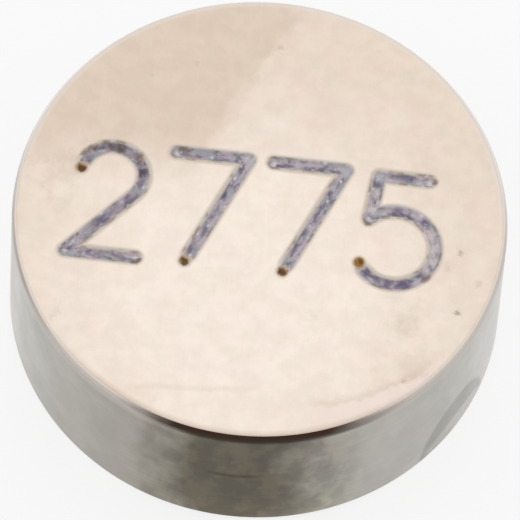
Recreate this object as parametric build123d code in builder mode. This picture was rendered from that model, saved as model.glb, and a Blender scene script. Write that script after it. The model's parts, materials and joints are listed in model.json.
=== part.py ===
from build123d import *
import os
from math import acos, atan2, cos, degrees, hypot, radians, sin

# A valve shim: a small ground steel disc that sets the clearance of an engine valve.
# The origin is the centre of the bottom face, +Z goes up through the numbered face,
# and +X is the direction in which the number is read. All sizes are in millimetres.

# Disc
disc_diameter = 7.48
disc_thickness = 2.775
rim_radius = 0.10  # rounding of the top and the bottom rim

# Number on the top face, measured along the centrelines of its strokes
number_digits = ["2", "7", "7", "5"]  # the thickness in thousandths of a millimetre
left_margin = 0.90  # from the disc's outline to the first digit
right_margin = 1.06  # from the last digit to the disc's outline
digit_gap = 0.40  # between one digit and the next
digit_height = 1.82  # from the base line to the cap line
number_rise = 0.035  # middle of the number above the middle of the face

# Engraved strokes
stroke_width = 0.21
stroke_depth = 0.04
wall_slope_share = 0.75  # part of a groove's depth over which its walls slope in at 45 degrees

# Proportions of the digits, as shares of a digit's width, and angles in degrees
two_overhang_share = 0.055  # how far the 2 reaches out to the left of its place
two_base_share = 1.02
hook_radius_share = 0.435
hook_center_share = 0.537  # centre of the hook of the 2, from its lower corner
hook_start = 172  # where the hook of the 2 begins
seven_foot_share = 0.272  # foot of the 7, from its left side
flag_end_share = 0.815  # right end of the top bar of the 5
stem_top_share = 0.108  # top of the stem of the 5
bowl_radius_share = 0.56
bowl_center_share = 0.426
bowl_start = 133  # where the stem of the 5 meets its bowl
bowl_end = -149  # where the bowl of the 5 ends

# Sizes that follow from the ones above
digit_count = len(number_digits)
number_length = disc_diameter - left_margin - right_margin
digit_width = (number_length - (digit_count - 1) * digit_gap) / digit_count
digit_pitch = digit_width + digit_gap
first_digit_x = left_margin - disc_diameter / 2
base_line = number_rise - digit_height / 2
cap_line = number_rise + digit_height / 2


def polar_point(center, radius, angle):
    return (center[0] + radius * cos(radians(angle)), center[1] + radius * sin(radians(angle)))


def two_path(left):
    # A hook, a long diagonal that leaves it tangentially, and a flat base
    corner = (left - two_overhang_share * digit_width, base_line)
    radius = hook_radius_share * digit_width
    center = (corner[0] + hook_center_share * digit_width, cap_line - radius)
    drop_x = corner[0] - center[0]
    drop_y = corner[1] - center[1]
    hook_end = degrees(atan2(drop_y, drop_x) + acos(radius / hypot(drop_x, drop_y)))
    with BuildLine() as path:
        ThreePointArc(
            polar_point(center, radius, hook_start),
            polar_point(center, radius, 90),
            polar_point(center, radius, hook_end),
        )
        Polyline(
            polar_point(center, radius, hook_end),
            corner,
            (corner[0] + two_base_share * digit_width, base_line),
        )
    return path.wire()


def seven_path(left):
    # A flat bar and a straight leg
    with BuildLine() as path:
        Polyline(
            (left, cap_line),
            (left + digit_width, cap_line),
            (left + seven_foot_share * digit_width, base_line),
        )
    return path.wire()


def five_path(left):
    # A flat bar, a short stem and a round open bowl
    radius = bowl_radius_share * digit_width
    center = (left + bowl_center_share * digit_width, base_line + radius)
    with BuildLine() as path:
        Polyline(
            (left + flag_end_share * digit_width, cap_line),
            (left + stem_top_share * digit_width, cap_line),
            polar_point(center, radius, bowl_start),
        )
        ThreePointArc(
            polar_point(center, radius, bowl_start),
            polar_point(center, radius, 0),
            polar_point(center, radius, bowl_end),
        )
    return path.wire()


digit_paths = {"2": two_path, "5": five_path, "7": seven_path}

with BuildPart() as shim:
    with BuildSketch():
        Circle(disc_diameter / 2)
    extrude(amount=disc_thickness)
    fillet(shim.edges().filter_by(GeomType.CIRCLE), rim_radius)

    # The number is four round-ended grooves whose walls slope in to a flat floor
    with BuildSketch(Plane.XY.offset(disc_thickness)):
        for place, digit in enumerate(number_digits):
            SlotArc(digit_paths[digit](first_digit_x + place * digit_pitch), stroke_width)
    extrude(amount=-stroke_depth, mode=Mode.SUBTRACT)
    groove_floors = shim.faces(Select.LAST).filter_by(Plane.XY).group_by(Axis.Z)[0]
    chamfer(groove_floors.edges(), wall_slope_share * stroke_depth)

shim.part.label = "shim"

os.makedirs("parts", exist_ok=True)
export_step(shim.part, "parts/shim.step")
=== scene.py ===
import json
from math import acos, atan2, cos, degrees, hypot, pi, radians, sin

import bmesh
import bpy
from mathutils import Matrix, Vector, kdtree, noise


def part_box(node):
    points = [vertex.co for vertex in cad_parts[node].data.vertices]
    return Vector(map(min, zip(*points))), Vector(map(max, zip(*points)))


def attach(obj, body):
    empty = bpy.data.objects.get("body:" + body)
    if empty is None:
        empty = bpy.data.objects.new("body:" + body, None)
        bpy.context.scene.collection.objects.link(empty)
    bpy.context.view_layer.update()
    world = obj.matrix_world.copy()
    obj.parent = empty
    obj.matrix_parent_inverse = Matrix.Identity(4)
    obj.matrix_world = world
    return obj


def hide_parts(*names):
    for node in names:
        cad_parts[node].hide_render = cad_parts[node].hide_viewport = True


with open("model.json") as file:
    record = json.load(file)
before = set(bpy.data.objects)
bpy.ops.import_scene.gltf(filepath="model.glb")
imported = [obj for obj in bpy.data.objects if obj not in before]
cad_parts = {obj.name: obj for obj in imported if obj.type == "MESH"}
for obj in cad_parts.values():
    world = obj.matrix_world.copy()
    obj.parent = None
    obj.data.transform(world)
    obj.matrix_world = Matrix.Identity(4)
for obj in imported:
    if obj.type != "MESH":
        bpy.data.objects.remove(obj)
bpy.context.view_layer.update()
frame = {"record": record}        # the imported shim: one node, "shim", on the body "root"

# A ground steel valve shim with its size number engraved in the top face.
# Meshes are modelled in millimetres and brought to metres as their last step.

mm = 0.001
sideWall = next(mount for mount in frame["record"]["mounts"] if mount["name"] == "side_wall")
discRadius = sideWall["dims"]["r_mm"]
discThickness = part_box("shim")[1].z / mm


# camera

cameraView = {
    "azimuth": 2.4,  # degrees round the shim, 0 looks along +Y
    "elevation": 62.94,
    "roll": 4.03,
    "distance": 152.1 * mm,
    "aimRight": 0.046 * mm,  # the aim's place beside the origin, across the view
    "aimUp": 0.616 * mm,
    "lens": 687.4,
}


def makeCamera():
    azimuth = radians(cameraView["azimuth"])
    elevation = radians(cameraView["elevation"])
    back = Vector((sin(azimuth) * cos(elevation), -cos(azimuth) * cos(elevation), sin(elevation)))
    right = Vector((cos(azimuth), sin(azimuth), 0))
    up = back.cross(right)
    place = back * cameraView["distance"] + right * cameraView["aimRight"] + up * cameraView["aimUp"]
    turn = Matrix((right, up, back)).transposed().to_4x4()
    camera = bpy.data.objects.new("camera", bpy.data.cameras.new("camera"))
    camera.data.lens = cameraView["lens"]
    camera.data.clip_start = 1 * mm
    camera.data.clip_end = 10
    roll = Matrix.Rotation(radians(cameraView["roll"]), 4, "Z")
    camera.matrix_world = Matrix.Translation(place) @ turn @ roll
    bpy.context.scene.collection.objects.link(camera)
    bpy.context.scene.camera = camera


makeCamera()
print("camera placed")


# number: centrelines of the strokes, in millimetres on the top face

number = {
    "digits": ["2", "7", "7", "5"],
    "leftMargin": 0.90,
    "rightMargin": 1.06,
    "gap": 0.40,
    "height": 1.82,
    "rise": 0.035,  # middle of the number above the middle of the face
    "pointSpacing": 0.004,
    "patternGap": 2,  # keeps the pattern of one digit's groove apart from the next one's
    # places in a digit are shares of its width, drops are in millimetres, and angles in degrees
    "two": {
        "corner": -0.016,
        "tail": 0.965,
        "drop": 0.028,
        "hookCentre": 0.512,
        "hookRadius": 0.443,
        "hookDrop": 0.020,
        "hookEnd": 172,
    },
    "seven": {"width": 1.012, "foot": 0.285},
    "five": {
        "flagEnd": 0.815,
        "stemTop": 0.108,
        "flagDrop": 0.036,
        "bowlCentre": 0.426,
        "bowlRadius": 0.571,
        "bowlDrop": 0.024,
        "bowlStart": 133,
        "bowlEnd": -149,
        "bowlCurl": 0.055,  # how far the bowl's end curls in, as a share of its radius
        "curlPower": 6,  # a higher one curls only the last bit
    },
    # how golden and how red the burnt spot at each digit's end is
    "burntTones": [(0.05, 0.75), (0.18, 0.10), (0.10, 0.80), (0.80, 0.15)],
}

digitCount = len(number["digits"])
numberLength = 2 * discRadius - number["leftMargin"] - number["rightMargin"]
digitWidth = (numberLength - (digitCount - 1) * number["gap"]) / digitCount
baseLine = number["rise"] - number["height"] / 2
capLine = number["rise"] + number["height"] / 2


def arcPoints(centre, radius, start, end):
    count = int(abs(radians(end - start)) * radius / number["pointSpacing"]) + 2
    angles = [radians(start + (end - start) * i / (count - 1)) for i in range(count)]
    return [Vector((centre[0] + radius * cos(a), centre[1] + radius * sin(a), 0)) for a in angles]


def linePoints(*corners):
    points = []
    for start, end in zip(corners[:-1], corners[1:]):
        start, end = Vector((*start, 0)), Vector((*end, 0))
        count = int((end - start).length / number["pointSpacing"]) + 2
        points += [start.lerp(end, i / (count - 1)) for i in range(count)]
    return points


def drawTwo(left):
    shape = number["two"]
    low = baseLine - shape["drop"]
    tail = (left + shape["tail"] * digitWidth, low)
    corner = (left + shape["corner"] * digitWidth, low)
    radius = shape["hookRadius"] * digitWidth
    centre = (left + shape["hookCentre"] * digitWidth, capLine - shape["hookDrop"] - radius)
    reach = (corner[0] - centre[0], corner[1] - centre[1])
    hookStart = degrees(atan2(reach[1], reach[0]) + acos(radius / hypot(*reach)))
    hook = arcPoints(centre, radius, hookStart, shape["hookEnd"])
    return linePoints(tail, corner, hook[0][:2]) + hook, [tail, corner], []


def drawSeven(left):
    shape = number["seven"]
    start, corner = (left, capLine), (left + shape["width"] * digitWidth, capLine)
    foot = (left + shape["foot"] * digitWidth, baseLine)
    return linePoints(start, corner, foot), [start], [corner]


def drawFive(left):
    shape = number["five"]
    top = capLine - shape["flagDrop"]
    flagEnd = (left + shape["flagEnd"] * digitWidth, top)
    stemTop = (left + shape["stemTop"] * digitWidth, top)
    radius = shape["bowlRadius"] * digitWidth
    centre = (left + shape["bowlCentre"] * digitWidth, baseLine - shape["bowlDrop"] + radius)
    bowl = arcPoints(centre, radius, shape["bowlStart"], shape["bowlEnd"])
    middle = Vector((*centre, 0))
    curls = [shape["bowlCurl"] * (i / len(bowl)) ** shape["curlPower"] for i in range(len(bowl))]
    bowl = [point.lerp(middle, curl) for point, curl in zip(bowl, curls)]
    return linePoints(flagEnd, stemTop, bowl[0][:2]) + bowl, [flagEnd, bowl[0][:2]], [stemTop]


def drawNumber():
    draw = {"2": drawTwo, "5": drawFive, "7": drawSeven}
    drawn = []
    for place, digit in enumerate(number["digits"]):
        left = number["leftMargin"] - discRadius + place * (digitWidth + number["gap"])
        drawn.append(draw[digit](left))
    return drawn


def makeTree(points):
    tree = kdtree.KDTree(len(points))
    for index, point in enumerate(points):
        tree.insert(point, index)
    tree.balance()
    return tree


# of each digit: its stroke's points up to the burnt end, its plain ends and its sharp bends
strokes, plainEnds, sharpBends = zip(*drawNumber())
strokePoints = [point for stroke in strokes for point in stroke]
endPoints = [Vector((*end[:2], 0)) for ends in plainEnds for end in ends]
bendPoints = [Vector((*bend, 0)) for bends in sharpBends for bend in bends]
burntPoints = [stroke[-1] for stroke in strokes]


def measureStrokes():
    lengths, tangents, run = [], [], 0
    for stroke in strokes:
        for index, point in enumerate(stroke):
            before, after = stroke[max(index - 1, 0)], stroke[min(index + 1, len(stroke) - 1)]
            tangents.append((after - before).normalized())
            run += (point - before).length
            lengths.append(run)
        run += number["patternGap"]
    return lengths, tangents


strokeLengths, strokeTangents = measureStrokes()
strokeTree, endTree = makeTree(strokePoints), makeTree(endPoints)
bendTree, burntTree = makeTree(bendPoints), makeTree(burntPoints)


# shim mesh

shim = {
    "roundFacets": 512,
    "rimRun": 0.062,  # how far the rim's slope goes in from the wall
    "rimDrop": 0.100,  # and down from the face
    "rimSoftening": 0.022,
    "rimFacets": 4,
    "edgeLoop": 0.012,  # keeps the rim's shading off the flat faces
    "cell": 0.12,
    "finerNear": [0.36, 0.24, 0.165],  # each halves the cells that are nearer to a stroke than this
    "finerAtPits": 0.1,  # how much less far it reaches round a pit
    "cellTolerance": 0.01,  # share of its area by which a whole cell may be off
    "grooveHalfWidth": 0.105,
    "grooveDepth": 0.038,
    "wallRun": 0.075,  # how far a groove's wall leans
    "lipHeight": 0.004,
    "lipReach": 0.022,
    "lipUnevenness": 0.4,
    "lipPatch": 0.08,  # size of its higher and lower parts
    "floorRipple": 0.010,
    "rippleSize": 0.055,
    "rippleFineness": 2.3,  # a second pattern is this much finer
    "rippleFinerShare": 0.5,  # and this strong
    "endNarrowing": 0.022,  # how much narrower a groove is at its burnt end
    "narrowingReach": (0.10, 0.22),  # it fades out between these distances from the burnt spot
    "pits": [(3.063, -0.242, 0.45), (3.116, -1.261, 0.60), (2.426, -2.491, 0.25)],  # x, y and strength
    "pitSize": 0.034,
    "pitSpan": 2,  # outer edge of a pit, in pit sizes
    "pitDepth": 0.012,
    "pitRaggedness": 0.8,
    "pitFineness": 0.9,  # of its ragged outline
}

snap = 1e-5  # a point this near to a plane, in millimetres, lies on it


def facesOn(bm, height):
    return [f for f in bm.faces if all(abs(v.co.z - height) < snap for v in f.verts)]


def withEdges(faces):
    edges = {e for f in faces for e in f.edges}
    verts = {v for f in faces for v in f.verts}
    return [*faces, *edges, *verts]


def cutLattice(bm):
    geom = withEdges([f for f in facesOn(bm, discThickness) if len(f.verts) > 4])
    half = int(discRadius / shim["cell"]) + 1
    for normal in (Vector((1, 0, 0)), Vector((0, 1, 0))):
        for step in range(-half, half + 1):
            spot = normal * step * shim["cell"]
            cut = bmesh.ops.bisect_plane(bm, geom=geom, dist=snap, plane_co=spot, plane_no=normal)
            geom = cut["geom"]


def isWholeCell(face, cell):
    off = abs(face.calc_area() - cell * cell)
    return len(face.verts) == 4 and off < shim["cellTolerance"] * cell * cell


def refineNear(bm, reach, cell):
    pitTree = makeTree([Vector((*pit[:2], 0)) for pit in shim["pits"]])
    edges = set()
    for face in facesOn(bm, discThickness):
        centre = face.calc_center_median()
        centre.z = 0
        nearStroke = strokeTree.find(centre)[2] < reach
        nearPit = pitTree.find(centre)[2] < reach - shim["finerAtPits"]
        if isWholeCell(face, cell) and (nearStroke or nearPit):
            edges.update(face.edges)
    bmesh.ops.subdivide_edges(bm, edges=list(edges), cuts=1, use_grid_fill=True)


def smooth(value, start, end):
    share = min(max((value - start) / (end - start), 0), 1)
    return share * share * (3 - 2 * share)


def grooveDrop(distance, point):
    halfWidth, uneven = shim["grooveHalfWidth"], shim["lipUnevenness"]
    inside = 1 - smooth(distance, halfWidth - shim["wallRun"], halfWidth)
    spot = point / shim["rippleSize"]
    ripple = noise.noise(spot) + shim["rippleFinerShare"] * noise.noise(spot * shim["rippleFineness"])
    lipPlace = abs(distance - halfWidth - shim["lipReach"] / 2) / shim["lipReach"]
    lipShare = 1 - uneven + uneven * noise.noise(point / shim["lipPatch"])
    lip = shim["lipHeight"] * (1 - smooth(lipPlace, 0, 1)) * lipShare
    return lip - inside * (shim["grooveDepth"] + shim["floorRipple"] * ripple)


def carve(bm):
    layers = bm.verts.layers
    grooveLayer, pitLayer = [layers.float.new(name) for name in ("groove", "pit")]
    endLayer, bendLayer, burnLayer = [layers.float.new(name) for name in ("end", "bend", "burn")]
    toneLayer, strokeLayer = [layers.float_vector.new(name) for name in ("burnTone", "stroke")]
    reach = 2 * shim["grooveHalfWidth"]
    for vert in bm.verts:
        if abs(vert.co.z - discThickness) > snap:
            continue
        flat = Vector((vert.co.x, vert.co.y, 0))
        nearest, index, distance = strokeTree.find(flat)
        across = (flat - nearest).cross(strokeTangents[index]).z  # grows to the right of the beam's way
        vert[strokeLayer] = (strokeLengths[index], across, 0)
        vert[grooveLayer] = 1 - distance / reach
        vert[endLayer] = 1 - endTree.find(flat)[2] / reach
        vert[bendLayer] = 1 - bendTree.find(flat)[2] / reach
        place, away = burntTree.find(flat)[1:]
        vert[burnLayer] = 1 - away / reach
        vert[toneLayer] = (*number["burntTones"][place], 0)
        if distance < reach:
            narrowing = shim["endNarrowing"] * (1 - smooth(away, *shim["narrowingReach"]))
            vert.co.z += grooveDrop(distance + narrowing, flat)
        for x, y, strength in shim["pits"]:
            spot = flat / shim["pitSize"] * shim["pitFineness"]
            ragged = 1 + shim["pitRaggedness"] * noise.noise(spot)
            near = (flat - Vector((x, y, 0))).length / shim["pitSize"] * ragged
            if near < shim["pitSpan"]:
                vert[pitLayer] = strength * (1 - smooth(near, 0, shim["pitSpan"]))
                vert.co.z -= shim["pitDepth"] * vert[pitLayer]


def turnDisc(bm):
    run, drop = shim["rimRun"], shim["rimDrop"]
    profile = [
        (discRadius - run, 0),
        (discRadius, drop),
        (discRadius, discThickness - drop),
        (discRadius - run, discThickness),
    ]
    corners = [bm.verts.new((radius, 0, height)) for radius, height in profile]
    edges = [bm.edges.new(pair) for pair in zip(corners[:-1], corners[1:])]
    bmesh.ops.spin(bm, geom=corners + edges, axis=(0, 0, 1), cent=(0, 0, 0), angle=2 * pi,
                   steps=shim["roundFacets"], use_merge=True)
    bmesh.ops.holes_fill(bm, edges=[e for e in bm.edges if e.is_boundary], sides=0)
    bmesh.ops.recalc_face_normals(bm, faces=bm.faces[:])
    rings = [e for e in bm.edges if abs(e.verts[0].co.z - e.verts[1].co.z) < snap]
    bmesh.ops.bevel(bm, geom=rings, offset=shim["rimSoftening"], segments=shim["rimFacets"],
                    profile=0.5, affect="EDGES", material=-1)
    loop = drop + shim["rimSoftening"] + shim["edgeLoop"]
    for height in (loop, discThickness - loop):
        bmesh.ops.bisect_plane(bm, geom=bm.verts[:] + bm.edges[:] + bm.faces[:], dist=snap,
                               plane_co=(0, 0, height), plane_no=(0, 0, 1))
    caps = facesOn(bm, 0) + facesOn(bm, discThickness)
    bmesh.ops.inset_individual(bm, faces=caps, thickness=shim["edgeLoop"])


def pickFinish(face):
    centre = face.calc_center_median()
    if hypot(centre.x, centre.y) < discRadius - shim["rimRun"]:
        return 0
    wallStart = shim["rimDrop"] - shim["rimSoftening"]
    if wallStart < centre.z < discThickness - wallStart:
        return 1
    return 2


def makeShim():
    bm = bmesh.new()
    turnDisc(bm)
    cutLattice(bm)
    cell = shim["cell"]
    for reach in shim["finerNear"]:
        refineNear(bm, reach, cell)
        cell = cell / 2
    carve(bm)
    for face in bm.faces:
        face.smooth = True
        face.material_index = pickFinish(face)
    bmesh.ops.scale(bm, vec=(mm, mm, mm), verts=bm.verts)
    mesh = bpy.data.meshes.new("shimFine")
    bm.to_mesh(mesh)
    bm.free()
    piece = bpy.data.objects.new("shimFine", mesh)
    bpy.context.scene.collection.objects.link(piece)
    return piece


shimPiece = makeShim()
print("shim modelled:", len(shimPiece.data.polygons), "faces")


# node helpers

def addNode(tree, kind, settings=None, inputs=None):
    node = tree.nodes.new(kind)
    for key, value in (settings or {}).items():
        setattr(node, key, value)
    for key, value in (inputs or {}).items():
        if isinstance(value, bpy.types.NodeSocket):
            tree.links.new(value, node.inputs[key])
        else:
            node.inputs[key].default_value = value
    return node


def newMaterial(name):
    material = bpy.data.materials.new(name)
    material.use_nodes = True
    tree = material.node_tree
    place = addNode(tree, "ShaderNodeTexCoord").outputs["Object"]
    scaled = addNode(tree, "ShaderNodeVectorMath", {"operation": "SCALE"}, {0: place, "Scale": 1 / mm})
    return material, tree, tree.nodes["Principled BSDF"], scaled.outputs[0]


def combine(tree, operation, *values):
    return addNode(tree, "ShaderNodeMath", {"operation": operation}, dict(enumerate(values))).outputs[0]


def multiply(tree, first, second):
    return combine(tree, "MULTIPLY", first, second)


def combineVectors(tree, operation, *vectors):
    inputs = dict(enumerate(vectors))
    return addNode(tree, "ShaderNodeVectorMath", {"operation": operation}, inputs).outputs


def splitAxes(tree, vector):
    return addNode(tree, "ShaderNodeSeparateXYZ", inputs={0: vector}).outputs


def flatten(tree, vector):
    return combineVectors(tree, "MULTIPLY", vector, (1, 1, 0))[0]


def measureAway(tree, place, x, y):
    return combineVectors(tree, "DISTANCE", place, (x, y, discThickness))["Value"]


def mapPlace(tree, place, size=(1, 1, 1), turn=0, origin=(0, 0, 0)):
    return addNode(tree, "ShaderNodeMapping", {"vector_type": "TEXTURE"}, {
        "Vector": place, "Location": origin, "Rotation": (0, 0, radians(turn)), "Scale": size,
    }).outputs[0]


def grain(tree, place, look):
    size = look["size"] if isinstance(look["size"], tuple) else (look["size"],) * 3
    return addNode(tree, "ShaderNodeTexNoise", inputs={
        "Vector": mapPlace(tree, place, size, look.get("turn", 0)),
        "Scale": 1,
        "Detail": look["detail"],
        "Roughness": look.get("roughness", 0.5),
    }).outputs["Fac"]


def spread(tree, value, start, end, low=0, high=1):
    return addNode(tree, "ShaderNodeMapRange", {"interpolation_type": "SMOOTHSTEP"}, {
        "Value": value, "From Min": start, "From Max": end, "To Min": low, "To Max": high,
    }).outputs["Result"]


# levels: where the patches start and are full, and how weak and strong they are
def patches(tree, place, look):
    return spread(tree, grain(tree, place, look), *look["levels"])


# goes as far as its reach, either way
def stray(tree, place, look):
    return combine(tree, "MULTIPLY_ADD", grain(tree, place, look), 2 * look["reach"], -look["reach"])


# 1 between the two middle borders, and 0 before the first and after the last
def band(tree, value, borders):
    start, full, lastFull, end = borders
    return multiply(tree, spread(tree, value, start, full), spread(tree, value, end, lastFull))


def bandRound(tree, angle, borders):
    return band(tree, angle, [radians(degree) for degree in borders])


def tint(tree, share, first, second, mode="MIX"):
    node = addNode(tree, "ShaderNodeMix", {"data_type": "RGBA", "blend_type": mode})
    for slot, value in ((0, share), (6, first), (7, second)):
        if isinstance(value, bpy.types.NodeSocket):
            tree.links.new(value, node.inputs[slot])
        else:
            node.inputs[slot].default_value = (*value, 1) if isinstance(value, tuple) else value
    return node.outputs[2]


def readLayer(tree, name, kind="Fac"):
    return addNode(tree, "ShaderNodeAttribute", {"attribute_name": name}).outputs[kind]


def goRound(tree, place):
    axes = splitAxes(tree, place)
    angle = combine(tree, "ARCTAN2", axes["X"], multiply(tree, axes["Y"], -1.0))
    return angle, axes["Z"]  # the angle is 0 at the front, and grows to the right


def paintTones(tree, place, angle, finish):
    shifted = combine(tree, "ADD", angle, stray(tree, place, finish["wander"]))
    turnShare = combine(tree, "MULTIPLY_ADD", shifted, 0.5 / pi, 0.5)
    ramp = addNode(tree, "ShaderNodeValToRGB", inputs={0: turnShare})
    stops = ramp.color_ramp.elements
    for stop in stops:
        stop.color = (*finish["behind"], 1)
    for degree, name in finish["tones"]:
        stops.new(degree / 360 + 0.5).color = (*finish[name], 1)
    return ramp.outputs["Color"]


# ground faces

groundFinish = {
    "bright": (0.945, 0.845, 0.755),
    "dull": (0.835, 0.715, 0.61),
    "tan": (0.765, 0.635, 0.525),
    "brown": (0.45, 0.33, 0.24),
    "pink": (0.87, 0.74, 0.68),
    "grey": (0.79, 0.73, 0.675),
    "pit": (0.22, 0.15, 0.11),
    "scratchLight": (0.99, 0.93, 0.87),
    "roughness": 0.36,
    "cloudsAndSheen": {  # painted sheen, duller further away from its centre, broken by random clouds
        "centre": (-0.2, -1.4), "reach": (2.4, 5.6), "shift": 2.4,
        "size": 1.3, "detail": 4, "roughness": 0.6,
    },
    "tanPatch": {  # at the left, beside one border and above another
        "facing": (-0.908, 0.418, 0), "beside": (1.12, 1.40), "above": (0.2, 1.4),
        "size": 0.5, "detail": 3, "reach": 0.35,
    },
    "scratches": [  # each line's turn in degrees, sizes across and along, and rareness
        {"tone": "tan", "detail": 2, "softness": 0.16, "strength": 0.065,
         "lines": [(3, 0.055, 0.28, 0.54), (-8, 0.050, 0.22, 0.56), (93, 0.045, 0.40, 0.60)]},
        {"tone": "scratchLight", "detail": 1, "softness": 0.12, "strength": 0.05,
         "lines": [(-2, 0.040, 0.35, 0.62), (12, 0.035, 0.28, 0.64)]},
    ],
    "crease": {  # a faint wavy line
        "start": (-1.75, -3.05, 0), "slant": 6, "length": 2.2, "fadeIn": 0.4, "fadeOut": 0.5,
        "halfWidth": 0.10, "strength": 0.12,
        "size": 0.45, "detail": 2, "reach": 0.18,
    },
    "mottle": [  # size of the patches, and how much darker they are
        (0.14, 0.018), (0.30, 0.046),
    ],
    "mottleLook": {"detail": 3, "roughness": 0.6, "levels": (0.35, 0.65)},
    "mottleTone": (1, 1.1, 1.2),  # how much of the darkening each of red, green and blue takes
    "hues": {"size": (0.42, 0.42, 1), "turn": 30, "detail": 2, "levels": (0.38, 0.62)},
    "greenHue": (0.994, 1, 0.992),
    "redHue": (1, 0.982, 0.980),
    "edgeStain": {  # pink outside a ragged circle, with a darker line along it
        "centre": (0.6, -0.1), "radius": 2.99, "softness": 0.08, "span": (12, 26, 46, 60),
        "strength": 0.6, "lineWidth": 0.12, "lineStrength": 0.18,
        "size": 0.16, "detail": 4, "roughness": 0.6, "reach": 0.12,
    },
    "edgeShade": {"width": 0.12, "strength": 0.42, "span": (-60, -25, 28, 50)},  # painted shade along the front edge, where the rounding begins
    "greyEdge": {"width": 0.10, "strength": 0.8, "start": 85, "full": 110},  # at the back
    "marksLook": {"detail": 4, "roughness": 0.7, "raggedness": 2},
    "marks": [  # x, y and reach in millimetres, and strength
        (0.00, 2.91, 0.09, 0.30), (-1.23, 2.52, 0.07, 0.20), (-1.87, 2.21, 0.06, 0.22),
        (2.90, -0.52, 0.10, 0.16), (3.40, -0.71, 0.10, 0.22), (0.96, -1.55, 0.12, 0.14),
        (-2.88, -1.98, 0.12, 0.16), (2.27, -1.48, 0.42, 0.14), (2.62, -2.20, 0.45, 0.14),
        (-3.05, 0.35, 0.60, 0.16), (2.35, -1.60, 0.22, 0.12), (3.05, -0.95, 0.16, 0.10),
    ],
}


# painted sheen: a pool of light across the face, broken by random clouds
def paintCloudsAndSheen(tree, place):
    look = groundFinish["cloudsAndSheen"]
    away = measureAway(tree, place, *look["centre"])
    shifted = combine(tree, "MULTIPLY_ADD", grain(tree, place, look), look["shift"], away)
    return tint(tree, spread(tree, shifted, *look["reach"]), groundFinish["bright"], groundFinish["dull"])


def paintTanPatch(tree, place, colour):
    look = groundFinish["tanPatch"]
    wander = stray(tree, place, look)
    beside = combineVectors(tree, "DOT_PRODUCT", place, look["facing"])["Value"]
    besideEdge = spread(tree, combine(tree, "ADD", beside, wander), *look["beside"])
    above = combine(tree, "ADD", splitAxes(tree, place)["Y"], wander)
    aboveEdge = spread(tree, above, *look["above"])
    return tint(tree, multiply(tree, besideEdge, aboveEdge), colour, groundFinish["tan"])


def paintScratches(tree, place, colour):
    for look in groundFinish["scratches"]:
        for turn, across, along, low in look["lines"]:
            levels = (low, low + look["softness"])
            line = {"size": (across, along, 1), "turn": turn, "detail": look["detail"], "levels": levels}
            share = multiply(tree, patches(tree, place, line), look["strength"])
            colour = tint(tree, share, colour, groundFinish[look["tone"]])
    return colour


def paintCrease(tree, place, colour):
    look = groundFinish["crease"]
    axes = splitAxes(tree, mapPlace(tree, place, turn=look["slant"], origin=look["start"]))
    offLine = combine(tree, "ABSOLUTE", combine(tree, "ADD", axes["Y"], stray(tree, place, look)))
    span = band(tree, axes["X"], (0, look["fadeIn"], look["length"] - look["fadeOut"], look["length"]))
    line = multiply(tree, spread(tree, offLine, look["halfWidth"], 0), span)
    return tint(tree, multiply(tree, line, look["strength"]), colour, groundFinish["brown"])


def paintMottle(tree, place, colour):
    for size, depth in groundFinish["mottle"]:
        share = patches(tree, place, {"size": size, **groundFinish["mottleLook"]})
        darker = tuple(1 - depth * part for part in groundFinish["mottleTone"])
        colour = tint(tree, 1.0, colour, tint(tree, share, darker, (1, 1, 1)), "MULTIPLY")
    share = patches(tree, place, groundFinish["hues"])
    hue = tint(tree, share, groundFinish["greenHue"], groundFinish["redHue"])
    return tint(tree, 1.0, colour, hue, "MULTIPLY")


def paintEdgeStain(tree, place, colour):
    look = groundFinish["edgeStain"]
    inner, outer = look["radius"], look["radius"] + look["softness"]
    away = combine(tree, "ADD", measureAway(tree, place, *look["centre"]), stray(tree, place, look))
    span = bandRound(tree, goRound(tree, place)[0], look["span"])
    outside = multiply(tree, spread(tree, away, inner, outer), span)
    colour = tint(tree, multiply(tree, outside, look["strength"]), colour, groundFinish["pink"])
    line = multiply(tree, band(tree, away, (inner - look["lineWidth"], inner, inner, outer)), span)
    return tint(tree, multiply(tree, line, look["lineStrength"]), colour, groundFinish["brown"])


def paintEdges(tree, place, colour):
    dull, grey = groundFinish["edgeShade"], groundFinish["greyEdge"]
    edge = discRadius - shim["rimRun"]
    radius = combineVectors(tree, "LENGTH", flatten(tree, place))["Value"]
    angle = goRound(tree, place)[0]
    # painted shade: the front edge darkened in brown, where the rim's rounding begins
    ahead = bandRound(tree, angle, dull["span"])
    share = multiply(tree, spread(tree, radius, edge - dull["width"], edge), ahead)
    colour = tint(tree, multiply(tree, share, dull["strength"]), colour, groundFinish["brown"])
    start, full = radians(grey["start"]), radians(grey["full"])
    behind = spread(tree, combine(tree, "ABSOLUTE", angle), start, full, 0, grey["strength"])
    share = multiply(tree, spread(tree, radius, edge - grey["width"], edge), behind)
    return tint(tree, share, colour, groundFinish["grey"])


def paintMarks(tree, place, colour):
    look = groundFinish["marksLook"]
    for x, y, reach, strength in groundFinish["marks"]:
        ragged = stray(tree, place, {**look, "size": reach, "reach": look["raggedness"] * reach})
        away = combine(tree, "ADD", measureAway(tree, place, x, y), ragged)
        colour = tint(tree, spread(tree, away, reach, 0, 0, strength), colour, groundFinish["brown"])
    return tint(tree, readLayer(tree, "pit"), colour, groundFinish["pit"])


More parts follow.
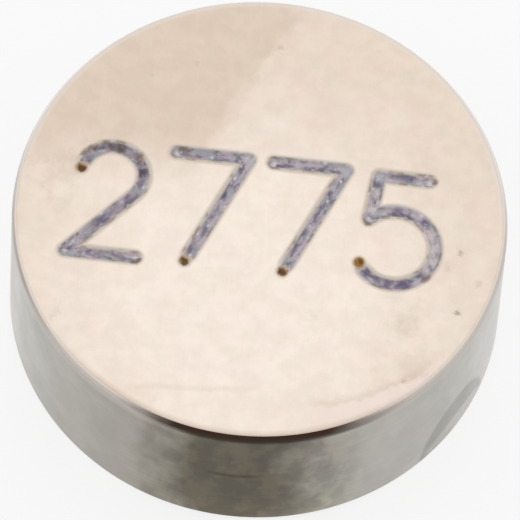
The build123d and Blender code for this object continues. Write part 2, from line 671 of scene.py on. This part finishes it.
def makeGroundSteel():
    material, tree, shader, place = newMaterial("groundSteel")
    colour = paintCloudsAndSheen(tree, place)
    for paint in (paintTanPatch, paintScratches, paintCrease, paintMottle):
        colour = paint(tree, place, colour)
    for paint in (paintEdgeStain, paintEdges, paintMarks):
        colour = paint(tree, place, colour)
    colour, inGroove = paintNumber(tree, place, colour)
    tree.links.new(colour, shader.inputs["Base Color"])
    metallic = spread(tree, inGroove, 0, 1, 1, grooveFinish["metallic"])
    roughness = spread(tree, inGroove, 0, 1, groundFinish["roughness"], grooveFinish["roughness"])
    tree.links.new(metallic, shader.inputs["Metallic"])
    tree.links.new(roughness, shader.inputs["Roughness"])
    return material


# engraved number

grooveFinish = {
    "lavender": (0.575, 0.495, 0.545),
    "blueGrey": (0.435, 0.43, 0.455),
    "navy": (0.125, 0.10, 0.19),
    "core": (0.20, 0.165, 0.24),
    "deep": (0.135, 0.11, 0.165),
    "pale": (0.78, 0.715, 0.71),
    "bend": (0.56, 0.545, 0.56),
    "shelf": (0.70, 0.62, 0.535),  # the paler side of each groove
    "ash": (0.74, 0.66, 0.60),
    "brown": (0.22, 0.15, 0.11),
    "ring": (0.26, 0.18, 0.135),
    "lilac": (0.34, 0.27, 0.32),
    "mist": (0.70, 0.635, 0.625),
    "glint": (0.80, 0.755, 0.79),
    "umber": (0.085, 0.062, 0.055),
    "burntDark": (0.095, 0.060, 0.025),
    "burntRed": (0.21, 0.050, 0.025),
    "burntGold": (0.47, 0.235, 0.035),
    "scorched": (0.62, 0.44, 0.22),
    "metallic": 0.35,
    "roughness": 0.6,
    # a reach is in millimetres from a centreline or a spot: where it starts and is full, and how strongly
    "reach": (0.170, 0.095),
    "narrowing": (0.20, 0.10, 0, 0.030),  # near the burnt end, by this many millimetres
    "shelfShift": 0.20,  # how much wider the paler side is than the other
    "shelfReach": (0.064, 0.104),
    "edgeBand": (0.055, 0.085, 0.095, 0.130),
    "edgeWear": {"size": (0.22, 0.12, 1), "turn": 7, "detail": 2, "levels": (0.46, 0.68, 0, 0.6)},
    "patches": {"size": (0.30, 0.16, 1), "detail": 1, "levels": (0.40, 0.60)},
    "coreLine": {"size": 0.26, "detail": 1, "sway": 0.22, "start": -0.09},
    "coreReach": (0.074, 0.0),
    "coreStrength": {"size": (0.20, 0.12, 1), "detail": 2, "levels": (0.38, 0.60, 0.05, 0.95)},
    "blotches": {"size": (0.13, 0.09, 1), "detail": 2, "levels": (0.50, 0.72), "strength": 0.70},
    "specks": {"size": (0.10, 0.075, 1), "edge": (0.50, 0.10), "chance": (0.48, 0.66), "strength": 0.80},
    "endShape": {"size": 0.05, "detail": 2, "shift": 0.10},
    "bendReach": (0.200, 0.060, 0, 0.75),
    "paleReach": (0.115, 0.045, 0, 0.9),
    "ringBand": (0.055, 0.082, 0.092, 0.120),
    "ringReach": (0.20, 0.13),
    "ringWear": {"size": 0.11, "detail": 2, "levels": (0.38, 0.60, 0, 0.75)},
    "burntShape": {"size": 0.06, "detail": 3, "reach": 0.05},
    "burntReach": (0.104, 0.044),
    "ashReach": (0.16, 0.09, 0, 0.7),
    "fringeReach": (0.135, 0.085),
    "fringe": {"size": 0.12, "detail": 1, "levels": (0.36, 0.56, 0.25, 0.85)},
    "shade": {"size": 0.07, "detail": 1, "levels": (0.42, 0.60, 0, 0.65)},
    "gilding": {"size": 0.06, "detail": 1, "levels": (0.50, 0.66, 0, 0.45)},
    "redness": {"size": 0.08, "detail": 1, "levels": (0.40, 0.60)},
    "stainShape": {"size": 0.09, "detail": 1, "reach": 0.06},
    "stainLimit": (0.095, 0.050),  # keeps stains in the groove
    "stainEdge": (1.15, 0.15),  # a stain's own border, as shares of its reach
    "stainStrength": 0.8,
    "stains": {  # x, y and reach of each, in millimetres
        "navy": [
            (-2.38, -0.29, 0.17), (-2.03, 0.07, 0.13), (-1.83, 0.55, 0.14), (1.98, -0.89, 0.18),
            (2.26, -0.87, 0.17), (1.69, -0.71, 0.12), (2.12, 0.96, 0.13), (1.72, 0.80, 0.11),
            (2.05, 0.31, 0.15), (2.50, 0.23, 0.12),
        ],
        "brown": [  # these go over the groove's edge
            (-2.21, 0.93, 0.12), (-1.92, 0.80, 0.11), (2.59, -0.72, 0.11), (-2.69, 0.85, 0.09),
            (-1.31, 1.00, 0.08), (-1.20, 1.00, 0.08), (-1.80, -0.97, 0.08), (2.575, 0.90, 0.08),
            (1.62, 0.09, 0.08), (-2.77, 0.78, 0.08), (-2.45, 0.97, 0.09),
        ],
        "lilac": [
            (-2.20, -0.08, 0.17), (-1.99, 0.16, 0.15), (-2.52, -0.47, 0.16), (-2.36, 0.93, 0.13),
            (-1.88, 0.42, 0.14), (-2.05, 0.86, 0.12), (-2.35, -0.91, 0.13), (-2.02, -0.91, 0.12),
            (-2.62, 0.86, 0.11),
        ],
        "umber": [
            (-2.22, 0.93, 0.12), (-2.36, 0.95, 0.09), (-1.87, 0.55, 0.12), (-1.89, 0.68, 0.09),
            (-2.58, 0.89, 0.08),
        ],
        "blueGrey": [(-1.91, 0.27, 0.11), (-2.57, -0.50, 0.16)],
        "mist": [
            (2.59, 0.02, 0.14), (2.66, -0.20, 0.15), (2.64, -0.42, 0.14), (2.56, -0.58, 0.11),
            (1.71, 0.62, 0.12), (1.67, 0.36, 0.13), (2.34, 0.88, 0.10), (1.85, 0.30, 0.08),
            (2.20, 0.36, 0.07), (1.93, -0.87, 0.07),
        ],
    },
}


def readDistance(tree, name):
    reach = 2 * shim["grooveHalfWidth"]
    return combine(tree, "MULTIPLY_ADD", readLayer(tree, name), -reach, reach)


def paintSpecks(tree, stroke, colour):
    look = grooveFinish["specks"]
    cells = addNode(tree, "ShaderNodeTexVoronoi", inputs={
        "Vector": mapPlace(tree, stroke, look["size"]), "Scale": 1, "Randomness": 1,
    }).outputs
    chance = spread(tree, splitAxes(tree, cells["Color"])[0], *look["chance"])
    share = multiply(tree, spread(tree, cells["Distance"], *look["edge"]), chance)
    return tint(tree, multiply(tree, share, look["strength"]), colour, grooveFinish["glint"])


def paintGroove(tree, stroke):
    along, across = splitAxes(tree, stroke)[:2]
    share = patches(tree, stroke, grooveFinish["patches"])
    colour = tint(tree, share, grooveFinish["lavender"], grooveFinish["blueGrey"])
    line = addNode(tree, "ShaderNodeCombineXYZ", inputs={"X": along}).outputs[0]
    look = grooveFinish["coreLine"]
    sway = combine(tree, "MULTIPLY_ADD", grain(tree, line, look), look["sway"], look["start"])
    offCore = combine(tree, "ABSOLUTE", combine(tree, "SUBTRACT", across, sway))
    strength = patches(tree, stroke, grooveFinish["coreStrength"])
    core = multiply(tree, spread(tree, offCore, *grooveFinish["coreReach"]), strength)
    colour = tint(tree, core, colour, grooveFinish["core"])
    look = grooveFinish["blotches"]
    blotches = multiply(tree, patches(tree, stroke, look), look["strength"])
    colour = tint(tree, blotches, colour, grooveFinish["deep"])
    return paintSpecks(tree, stroke, colour)


def paintStains(tree, place, distance, colour):
    ragged = stray(tree, place, grooveFinish["stainShape"])
    inner = spread(tree, distance, *grooveFinish["stainLimit"])
    outerShare, innerShare = grooveFinish["stainEdge"]
    for tone, spots in grooveFinish["stains"].items():
        for x, y, reach in spots:
            away = combine(tree, "ADD", measureAway(tree, place, x, y), ragged)
            strength = grooveFinish["stainStrength"]
            near = spread(tree, away, reach * outerShare, reach * innerShare, 0, strength)
            if tone != "brown":
                near = multiply(tree, near, inner)
            colour = tint(tree, near, colour, grooveFinish[tone])
    return colour


def paintEnds(tree, stroke, distance, colour):
    look = grooveFinish["endShape"]
    ragged = grain(tree, stroke, look)
    end = combine(tree, "MULTIPLY_ADD", ragged, look["shift"], readDistance(tree, "end"))
    bend = combine(tree, "MULTIPLY_ADD", ragged, look["shift"], readDistance(tree, "bend"))
    ring = band(tree, distance, grooveFinish["ringBand"])
    ring = multiply(tree, ring, patches(tree, stroke, grooveFinish["ringWear"]))
    ring = multiply(tree, ring, spread(tree, end, *grooveFinish["ringReach"]))
    colour = tint(tree, ring, colour, grooveFinish["ring"])
    colour = tint(tree, spread(tree, bend, *grooveFinish["bendReach"]), colour, grooveFinish["bend"])
    return tint(tree, spread(tree, end, *grooveFinish["paleReach"]), colour, grooveFinish["pale"])


def mixBurnt(tree, place, stroke):
    gold, red = splitAxes(tree, readLayer(tree, "burnTone", "Vector"))[:2]
    burnt = tint(tree, gold, grooveFinish["burntDark"], grooveFinish["burntGold"])
    shade = patches(tree, stroke, grooveFinish["shade"])
    burnt = tint(tree, shade, burnt, grooveFinish["burntDark"])
    gilding = patches(tree, place, grooveFinish["gilding"])
    burnt = tint(tree, gilding, burnt, grooveFinish["burntGold"])
    redness = patches(tree, stroke, grooveFinish["redness"])
    return tint(tree, multiply(tree, redness, red), burnt, grooveFinish["burntRed"])


def paintBurnt(tree, place, stroke, colour):
    ragged = stray(tree, stroke, grooveFinish["burntShape"])
    burn = combine(tree, "ADD", readDistance(tree, "burn"), ragged)
    colour = tint(tree, spread(tree, burn, *grooveFinish["ashReach"]), colour, grooveFinish["ash"])
    fringe = patches(tree, stroke, grooveFinish["fringe"])
    fringe = multiply(tree, spread(tree, burn, *grooveFinish["fringeReach"]), fringe)
    colour = tint(tree, fringe, colour, grooveFinish["scorched"])
    share = spread(tree, burn, *grooveFinish["burntReach"])
    return tint(tree, share, colour, mixBurnt(tree, place, stroke))


def paintNumber(tree, place, face):
    stroke = readLayer(tree, "stroke", "Vector")
    distance = readDistance(tree, "groove")
    across = splitAxes(tree, stroke)["Y"]
    shifted = combine(tree, "MULTIPLY_ADD", across, grooveFinish["shelfShift"], distance)
    shelf = spread(tree, shifted, *grooveFinish["shelfReach"])
    colour = tint(tree, shelf, paintGroove(tree, stroke), grooveFinish["shelf"])
    edge = band(tree, distance, grooveFinish["edgeBand"])
    edge = multiply(tree, edge, patches(tree, stroke, grooveFinish["edgeWear"]))
    colour = tint(tree, edge, colour, grooveFinish["brown"])
    colour = paintStains(tree, place, distance, colour)
    colour = paintEnds(tree, stroke, distance, colour)
    colour = paintBurnt(tree, place, stroke, colour)
    narrowing = spread(tree, readDistance(tree, "burn"), *grooveFinish["narrowing"])
    inGroove = spread(tree, combine(tree, "ADD", distance, narrowing), *grooveFinish["reach"])
    return tint(tree, inGroove, face, colour), inGroove


# turned side wall

wallFinish = {
    "pale": (0.76, 0.75, 0.73),
    "behind": (0.63, 0.62, 0.60),
    "plain": (0.56, 0.545, 0.51),
    "warm": (0.47, 0.447, 0.405),
    # painted shade: the dark front of the wall, where it mirrors the shaded floor
    "paintedShade": (0.175, 0.157, 0.126),
    "tones": [  # degrees round the wall from the front, and the painted reflection there: pale at the sides, painted shade at the front
        (-150, "plain"), (-118, "behind"), (-84, "pale"), (-54, "plain"), (-24, "warm"), (-10, "paintedShade"),
        (10, "paintedShade"), (33, "plain"), (54, "plain"), (84, "pale"), (118, "plain"), (150, "behind"),
    ],
    "wander": {"size": (0.5, 0.5, 0.9), "detail": 2, "reach": radians(8)},  # of the tones' borders
    "front": (-26, -8, 22, 34),  # degrees between which the front carries painted shade
    "blotch": (1.24, 1.24, 1.18),  # lighter clouds in the painted shade at the front
    "blotches": {"size": (0.30, 0.30, 0.50), "detail": 3, "roughness": 0.55, "levels": (0.40, 0.60)},
    "lowerReach": (0.8, 0.2),  # painted light: heights between which the shaded front's lower part grows lighter
    "lowerStrength": 0.9,
    "wear": [((0.7, 0.7, 0.9), 0.035), ((0.22, 0.22, 0.20), 0.016), ((2.5, 2.5, 0.03), 0.024)],
    "wearLook": {"detail": 3, "levels": (0.34, 0.66)},
    "wornEdge": (0.66, 0.60, 0.56),
    "wornDrops": (0.30, 0.08),  # below the top face, where it starts and is full
    "wornStrength": 0.75,
    # painted reflection: the rim's dark front line carried down the top of the wall
    "paintedRimDark": (0.05, 0.04, 0.03),
    "paintedRimDarkDrops": (0.19, 0.09),
    "paintedRimDarkSpan": (-26, -8, 22, 42),
    "paintedRimDarkStrength": 0.8,
    "arcReflection": (0.78, 0.785, 0.795),  # a faint painted reflection: a curved darker band at the lower right, between two arches
    "arches": [  # middle and half width in degrees, top, and where the painted reflection starts and is full
        (60.5, 12.6, 1.18, (1.06, 0.93)), (61.3, 12.1, 0.57, (0.86, 1.10)),
    ],
    "scratch": (0.10, 0.075, 0.055),
    "scratchLine": {
        "height": 1.52, "edge": (0.10, 0.02), "span": (-7, -3, 4, 9), "strength": 0.6,
        "size": 0.5, "detail": 4, "reach": 0.08,
    },
    "roughness": 0.55,
    "anisotropy": 0.8,
    "anisotropyTurn": 0.25,
}


def paintWallWearAndShade(tree, place, angle, height, colour):
    # lighter clouds and a lighter lower part, painted into the shade at the front
    ahead = bandRound(tree, angle, wallFinish["front"])
    blotches = multiply(tree, patches(tree, place, wallFinish["blotches"]), ahead)
    colour = tint(tree, blotches, colour, wallFinish["blotch"], "MULTIPLY")
    for size, depth in wallFinish["wear"]:
        share = patches(tree, place, {"size": size, **wallFinish["wearLook"]})
        shaded = tint(tree, share, (1 - depth,) * 3, (1 + depth,) * 3)
        colour = tint(tree, 1.0, colour, shaded, "MULTIPLY")
    lower = multiply(tree, spread(tree, height, *wallFinish["lowerReach"]), ahead)
    lower = multiply(tree, lower, wallFinish["lowerStrength"])
    colour = tint(tree, lower, colour, wallFinish["blotch"], "MULTIPLY")
    start, full = [discThickness - drop for drop in wallFinish["wornDrops"]]
    worn = multiply(tree, spread(tree, height, start, full), combine(tree, "SUBTRACT", 1.0, ahead))
    colour = tint(tree, multiply(tree, worn, wallFinish["wornStrength"]), colour, wallFinish["wornEdge"])
    # painted reflection: the rim's dark front line carried down the top of the wall
    start, full = [discThickness - drop for drop in wallFinish["paintedRimDarkDrops"]]
    span = bandRound(tree, angle, wallFinish["paintedRimDarkSpan"])
    paintedRimDark = multiply(tree, spread(tree, height, start, full), span)
    return tint(tree, multiply(tree, paintedRimDark, wallFinish["paintedRimDarkStrength"]), colour, wallFinish["paintedRimDark"])


# painted reflection: a faint curved darker band on the wall
def paintArcReflection(tree, angle, height, colour):
    shares = []
    for middle, halfWidth, top, edge in wallFinish["arches"]:
        across = combine(tree, "MULTIPLY_ADD", angle, 1 / radians(halfWidth), -middle / halfWidth)
        up = multiply(tree, height, 1 / top)
        flat = addNode(tree, "ShaderNodeCombineXYZ", inputs={"X": across, "Y": up}).outputs[0]
        shares.append(spread(tree, combineVectors(tree, "LENGTH", flat)["Value"], *edge))
    return tint(tree, multiply(tree, *shares), colour, wallFinish["arcReflection"], "MULTIPLY")


def paintWallScratch(tree, place, angle, height, colour):
    look = wallFinish["scratchLine"]
    swayed = combine(tree, "ADD", height, stray(tree, place, look))
    offLine = combine(tree, "ABSOLUTE", combine(tree, "SUBTRACT", swayed, look["height"]))
    line = multiply(tree, spread(tree, offLine, *look["edge"]), bandRound(tree, angle, look["span"]))
    return tint(tree, multiply(tree, line, look["strength"]), colour, wallFinish["scratch"])


def makeWallSteel():
    material, tree, shader, place = newMaterial("wallSteel")
    angle, height = goRound(tree, place)
    # painted reflection and shade round the wall, set by angle
    colour = paintTones(tree, place, angle, wallFinish)
    colour = paintWallWearAndShade(tree, place, angle, height, colour)
    colour = paintArcReflection(tree, angle, height, colour)
    colour = paintWallScratch(tree, place, angle, height, colour)
    tree.links.new(colour, shader.inputs["Base Color"])
    shader.inputs["Metallic"].default_value = 1
    shader.inputs["Roughness"].default_value = wallFinish["roughness"]
    shader.inputs["Anisotropic"].default_value = wallFinish["anisotropy"]
    shader.inputs["Anisotropic Rotation"].default_value = wallFinish["anisotropyTurn"]
    tangent = addNode(tree, "ShaderNodeTangent", {"direction_type": "RADIAL", "axis": "Z"})
    tree.links.new(tangent.outputs[0], shader.inputs["Tangent"])
    return material


# rims

rimFinish = {
    "behind": (0.86, 0.80, 0.755),
    "plain": (0.62, 0.56, 0.51),
    "dull": (0.44, 0.40, 0.36),
    # painted reflection of dark surroundings along the rim's front
    "dark": (0.069, 0.043, 0.031),
    "tones": [  # degrees round the rim from the front, and the painted reflection there
        (-110, "behind"), (-90, "plain"), (-68, "dull"), (-45, "plain"), (-29, "plain"), (-15, "dark"),
        (22, "dark"), (35, "dull"), (45, "plain"), (90, "plain"), (110, "behind"),
    ],
    "wander": {"size": 0.4, "detail": 3, "reach": radians(4)},  # of the tones' borders
    "upper": (0.84, 0.77, 0.71),  # the rim's upper part, but not at the front
    "upperDrops": (0.05, 0.01),  # below the top face, where it starts and is full
    "front": (-34, -18, 26, 42),
    "roughness": 0.42,
}


def makeRimSteel():
    material, tree, shader, place = newMaterial("rimSteel")
    angle, height = goRound(tree, place)
    # painted reflection and shade round the rim, set by angle
    colour = paintTones(tree, place, angle, rimFinish)
    behind = combine(tree, "SUBTRACT", 1.0, bandRound(tree, angle, rimFinish["front"]))
    start, full = [discThickness - drop for drop in rimFinish["upperDrops"]]
    upper = multiply(tree, spread(tree, height, start, full), behind)
    tree.links.new(tint(tree, upper, colour, rimFinish["upper"]), shader.inputs["Base Color"])
    shader.inputs["Metallic"].default_value = 1
    shader.inputs["Roughness"].default_value = rimFinish["roughness"]
    return material


for makeFinish in (makeGroundSteel, makeWallSteel, makeRimSteel):
    shimPiece.data.materials.append(makeFinish())
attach(shimPiece, "root")
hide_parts("shim")
print("finishes made")


# floor and light

studio = {
    "floorSize": 2.0,
    "floorColour": (0.93, 0.93, 0.93),
    "floorRoughness": 0.9,
    "floorWhite": 0.8,  # share of the floor that is plain white, seen directly or in the steel
    "softboxSize": 0.08,
    "softboxDistance": 0.12,
    "softboxElevation": 62,
    "softboxGlow": 0.20,
    "ambient": 0.88,
    "frontColour": (0.42, 0.38, 0.35),  # a darker part of the surroundings, in front
    "frontAzimuth": 8,
    "frontWidth": (52, 28),  # degrees to each side where it starts and is full
    "frontHeight": (48, 30),  # and degrees up
}


def makeFloor():
    bm = bmesh.new()
    bmesh.ops.create_grid(bm, x_segments=1, y_segments=1, size=studio["floorSize"] / 2)
    mesh = bpy.data.meshes.new("floor")
    bm.to_mesh(mesh)
    bm.free()
    floor = bpy.data.objects.new("floor", mesh)
    bpy.context.scene.collection.objects.link(floor)
    material, tree, shader = newMaterial("paleFloor")[:3]
    shader.inputs["Base Color"].default_value = (*studio["floorColour"], 1)
    shader.inputs["Roughness"].default_value = studio["floorRoughness"]
    shader.inputs["Specular IOR Level"].default_value = 0
    path = addNode(tree, "ShaderNodeLightPath").outputs
    mirrored = combine(tree, "ADD", path["Is Glossy Ray"], path["Is Transmission Ray"])
    seen = combine(tree, "ADD", path["Is Camera Ray"], mirrored)
    white = addNode(tree, "ShaderNodeEmission", inputs={"Color": (1, 1, 1, 1), "Strength": 1.0})
    share = multiply(tree, seen, studio["floorWhite"])
    mixed = addNode(tree, "ShaderNodeMixShader", inputs={0: share})
    tree.links.new(shader.outputs[0], mixed.inputs[1])
    tree.links.new(white.outputs[0], mixed.inputs[2])
    tree.links.new(mixed.outputs[0], tree.nodes["Material Output"].inputs["Surface"])
    mesh.materials.append(material)


def makeSoftbox():
    light = bpy.data.lights.new("softbox", "AREA")
    light.shape = "DISK"
    light.size = studio["softboxSize"]
    light.energy = studio["softboxGlow"] * pi * pi * (studio["softboxSize"] / 2) ** 2
    softbox = bpy.data.objects.new("softbox", light)
    azimuth = radians(cameraView["azimuth"])
    elevation = radians(studio["softboxElevation"])
    toLight = Vector((-sin(azimuth) * cos(elevation), cos(azimuth) * cos(elevation), sin(elevation)))
    softbox.location = toLight * studio["softboxDistance"]
    softbox.rotation_mode = "QUATERNION"
    softbox.rotation_quaternion = toLight.to_track_quat("Z", "Y")
    softbox.visible_camera = False
    bpy.context.scene.collection.objects.link(softbox)


def makeWorld():
    world = bpy.data.worlds.new("studio")
    bpy.context.scene.world = world
    world.use_nodes = True
    tree = world.node_tree
    direction = addNode(tree, "ShaderNodeTexCoord").outputs["Generated"]
    level = combineVectors(tree, "NORMALIZE", flatten(tree, direction))[0]
    azimuth = radians(studio["frontAzimuth"])
    toFront = (sin(azimuth), -cos(azimuth), 0)
    front = combineVectors(tree, "DOT_PRODUCT", level, toFront)["Value"]
    ahead = spread(tree, front, *[cos(radians(side)) for side in studio["frontWidth"]])
    height = splitAxes(tree, direction)["Z"]
    below = spread(tree, height, *[sin(radians(up)) for up in studio["frontHeight"]])
    glow = studio["ambient"]
    colour = tint(tree, multiply(tree, ahead, below), (glow, glow, glow), studio["frontColour"])
    tree.links.new(colour, tree.nodes["Background"].inputs["Color"])


makeFloor()
makeSoftbox()
makeWorld()
bpy.context.scene.view_settings.view_transform = "Standard"
print("studio made")
